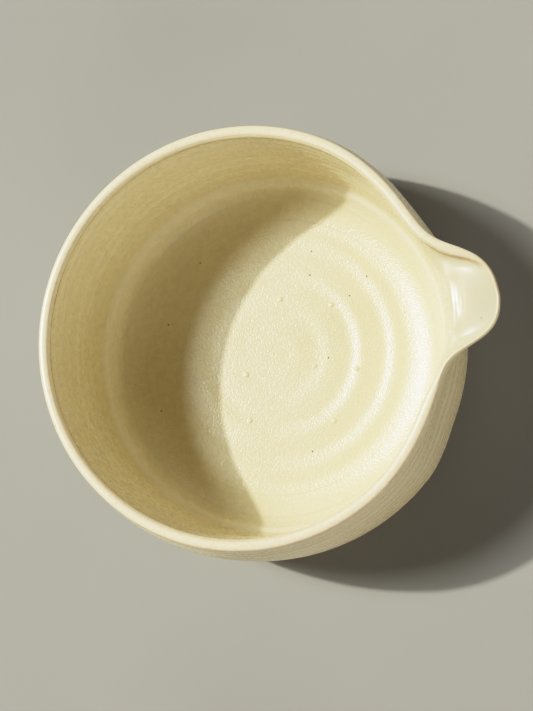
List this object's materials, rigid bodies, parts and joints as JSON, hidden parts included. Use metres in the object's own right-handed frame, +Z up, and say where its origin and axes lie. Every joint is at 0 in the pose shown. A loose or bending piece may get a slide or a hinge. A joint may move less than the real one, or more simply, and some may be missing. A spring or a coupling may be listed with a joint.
{
  "type": "shaving bowl",
  "caption": "Round stoneware shaving bowl with straight walls, a wide flat floor, a low foot ring and a short pouring spout pulled out of the rim.",
  "frame": {"origin": "middle of the foot ring's underside, on the surface that the bowl stands on, on the axis that the bowl was thrown about", "axes": "+Z up out of the mouth, along the axis the bowl was thrown about; +X towards the spout; +Y to the left of the spout, seen from the middle of the bowl"},
  "size_m": [0.1472, 0.1356, 0.056],
  "materials": {
    "bare_clay": "matt unglazed stoneware, fine sandy grain",
    "cream_glaze": "satin cream glaze over faint throwing rings"
  },
  "bodies": {
    "root": {"thrown_body": "bare_clay", "spout": "bare_clay", "inside_glaze": "cream_glaze", "outside_glaze": "cream_glaze"}
  },
  "joints": []
}
